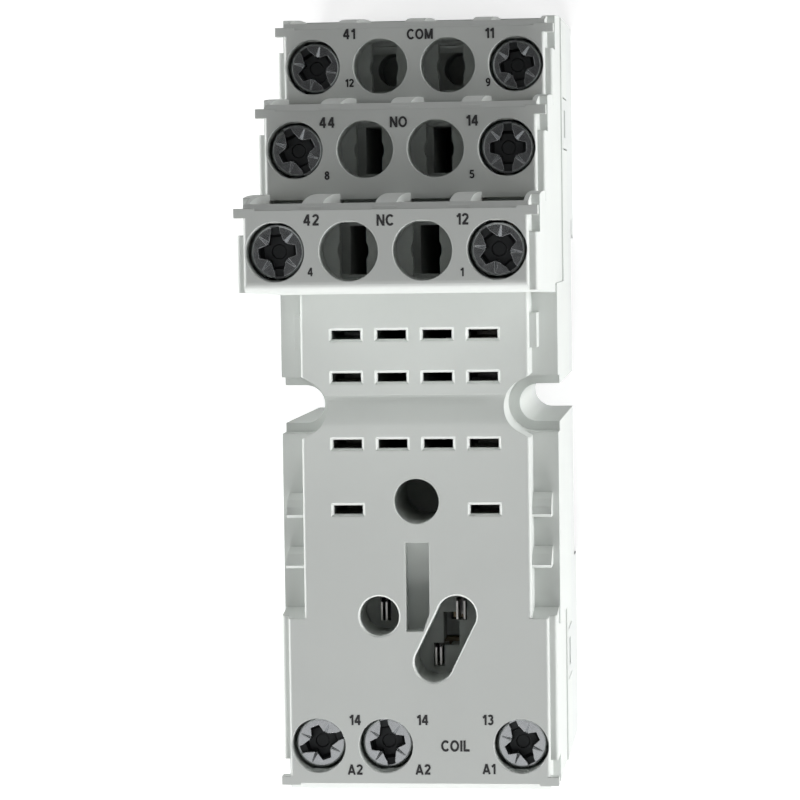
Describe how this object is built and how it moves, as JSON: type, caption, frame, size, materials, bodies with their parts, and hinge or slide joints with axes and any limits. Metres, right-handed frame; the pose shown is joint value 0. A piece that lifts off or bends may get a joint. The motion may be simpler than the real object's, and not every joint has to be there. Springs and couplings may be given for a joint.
{
  "type": "relay socket",
  "caption": "Rail-mount socket for a plug-in relay: stepped terminal tiers with rising-cage screw clamps, blade slots, coil terminals, module bay and sliding rail latch",
  "frame": {"origin": "centre of the bounding box in X and Y, at the back of the socket that rests on the panel (Z = 0)", "axes": "+X across the socket (poles side by side), +Y along the panel towards the stepped terminal tiers, the coil end is at -Y, +Z out of the panel towards the relay"},
  "size_m": [0.027, 0.075, 0.061],
  "materials": {
    "grey_moulding": "light grey moulded thermoplastic, fine matt texture",
    "cover_moulding": "light grey moulded thermoplastic",
    "latch_moulding": "black moulded thermoplastic",
    "zinc_plated_screw": "zinc plated and blue passivated",
    "plated_clamp": "zinc plated, yellowish",
    "contact_strip": "stamped brass strip",
    "contact_spring": "tinned spring bronze",
    "spring_steel": "bright spring steel wire"
  },
  "bodies": {
    "socket": {"housing": "grey_moulding", "rear_cover": "cover_moulding", "latch_spring": "spring_steel", "strip_41": "contact_strip", "strip_44": "contact_strip", "strip_42": "contact_strip", "strip_11": "contact_strip", "strip_14": "contact_strip", "strip_12": "contact_strip", "strip_a1": "contact_strip", "strip_a2": "contact_strip", "clip_41": "contact_spring", "clip_44": "contact_spring", "clip_42": "contact_spring", "clip_11": "contact_spring", "clip_14": "contact_spring", "clip_12": "contact_spring", "clip_a1": "contact_spring", "clip_a2": "contact_spring", "module_contact_a2": "contact_spring", "module_contact_a1": "contact_spring", "module_contact_low": "contact_spring"},
    "latch": {"rail_latch": "latch_moulding"},
    "turning_screw_41": {"screw_41": "zinc_plated_screw"},
    "rising_cage_41": {"cage_41": "plated_clamp"},
    "turning_screw_44": {"screw_44": "zinc_plated_screw"},
    "rising_cage_44": {"cage_44": "plated_clamp"},
    "turning_screw_42": {"screw_42": "zinc_plated_screw"},
    "rising_cage_42": {"cage_42": "plated_clamp"},
    "turning_screw_11": {"screw_11": "zinc_plated_screw"},
    "rising_cage_11": {"cage_11": "plated_clamp"},
    "turning_screw_14": {"screw_14": "zinc_plated_screw"},
    "rising_cage_14": {"cage_14": "plated_clamp"},
    "turning_screw_12": {"screw_12": "zinc_plated_screw"},
    "rising_cage_12": {"cage_12": "plated_clamp"},
    "turning_screw_a2_outer": {"screw_a2_outer": "zinc_plated_screw"},
    "rising_cage_a2_outer": {"cage_a2_outer": "plated_clamp"},
    "turning_screw_a2_inner": {"screw_a2_inner": "zinc_plated_screw"},
    "rising_cage_a2_inner": {"cage_a2_inner": "plated_clamp"},
    "turning_screw_a1": {"screw_a1": "zinc_plated_screw"},
    "rising_cage_a1": {"cage_a1": "plated_clamp"}
  },
  "joints": [
    {"name": "latch_slide", "type": "slide", "parent": "socket", "child": "latch", "axis": [0, -1, 0], "range_m": [0, 0.003], "stiffness_N_per_m": 300, "springref_m": -0.001, "deforming": ["latch_spring"]},
    {"name": "turn_screw_41", "type": "hinge", "parent": "socket", "child": "turning_screw_41", "pos_m": [-0.00983, 0.0323, 0.03], "axis": [0, 0, 1], "range_deg": [-1761, 0]},
    {"name": "raise_cage_41", "type": "slide", "parent": "socket", "child": "rising_cage_41", "axis": [0, 0, 1], "range_m": [0, 0.0022]},
    {"name": "turn_screw_44", "type": "hinge", "parent": "socket", "child": "turning_screw_44", "pos_m": [-0.00983, 0.024, 0.0437], "axis": [0, 0, 1], "range_deg": [-1761, 0]},
    {"name": "raise_cage_44", "type": "slide", "parent": "socket", "child": "rising_cage_44", "axis": [0, 0, 1], "range_m": [0, 0.0022]},
    {"name": "turn_screw_42", "type": "hinge", "parent": "socket", "child": "turning_screw_42", "pos_m": [-0.00983, 0.01475, 0.0574], "axis": [0, 0, 1], "range_deg": [-1761, 0]},
    {"name": "raise_cage_42", "type": "slide", "parent": "socket", "child": "rising_cage_42", "axis": [0, 0, 1], "range_m": [0, 0.0022]},
    {"name": "turn_screw_11", "type": "hinge", "parent": "socket", "child": "turning_screw_11", "pos_m": [0.00983, 0.0323, 0.03], "axis": [0, 0, 1], "range_deg": [-1761, 0]},
    {"name": "raise_cage_11", "type": "slide", "parent": "socket", "child": "rising_cage_11", "axis": [0, 0, 1], "range_m": [0, 0.0022]},
    {"name": "turn_screw_14", "type": "hinge", "parent": "socket", "child": "turning_screw_14", "pos_m": [0.00983, 0.024, 0.0437], "axis": [0, 0, 1], "range_deg": [-1761, 0]},
    {"name": "raise_cage_14", "type": "slide", "parent": "socket", "child": "rising_cage_14", "axis": [0, 0, 1], "range_m": [0, 0.0022]},
    {"name": "turn_screw_12", "type": "hinge", "parent": "socket", "child": "turning_screw_12", "pos_m": [0.00983, 0.01475, 0.0574], "axis": [0, 0, 1], "range_deg": [-1761, 0]},
    {"name": "raise_cage_12", "type": "slide", "parent": "socket", "child": "rising_cage_12", "axis": [0, 0, 1], "range_m": [0, 0.0022]},
    {"name": "turn_screw_a2_outer", "type": "hinge", "parent": "socket", "child": "turning_screw_a2_outer", "pos_m": [-0.00983, -0.03325, 0.0332], "axis": [0, 0, 1], "range_deg": [-1761, 0]},
    {"name": "raise_cage_a2_outer", "type": "slide", "parent": "socket", "child": "rising_cage_a2_outer", "axis": [0, 0, 1], "range_m": [0, 0.0022]},
    {"name": "turn_screw_a2_inner", "type": "hinge", "parent": "socket", "child": "turning_screw_a2_inner", "pos_m": [-0.00328, -0.03325, 0.0332], "axis": [0, 0, 1], "range_deg": [-1761, 0]},
    {"name": "raise_cage_a2_inner", "type": "slide", "parent": "socket", "child": "rising_cage_a2_inner", "axis": [0, 0, 1], "range_m": [0, 0.0022]},
    {"name": "turn_screw_a1", "type": "hinge", "parent": "socket", "child": "turning_screw_a1", "pos_m": [0.00983, -0.03325, 0.0332], "axis": [0, 0, 1], "range_deg": [-1761, 0]},
    {"name": "raise_cage_a1", "type": "slide", "parent": "socket", "child": "rising_cage_a1", "axis": [0, 0, 1], "range_m": [0, 0.0022]}
  ],
  "couplings": [
    {"joint": "turn_screw_41", "follows": "raise_cage_41", "rad_per_m": -13963},
    {"joint": "turn_screw_44", "follows": "raise_cage_44", "rad_per_m": -13963},
    {"joint": "turn_screw_42", "follows": "raise_cage_42", "rad_per_m": -13963},
    {"joint": "turn_screw_11", "follows": "raise_cage_11", "rad_per_m": -13963},
    {"joint": "turn_screw_14", "follows": "raise_cage_14", "rad_per_m": -13963},
    {"joint": "turn_screw_12", "follows": "raise_cage_12", "rad_per_m": -13963},
    {"joint": "turn_screw_a2_outer", "follows": "raise_cage_a2_outer", "rad_per_m": -13963},
    {"joint": "turn_screw_a2_inner", "follows": "raise_cage_a2_inner", "rad_per_m": -13963},
    {"joint": "turn_screw_a1", "follows": "raise_cage_a1", "rad_per_m": -13963}
  ]
}
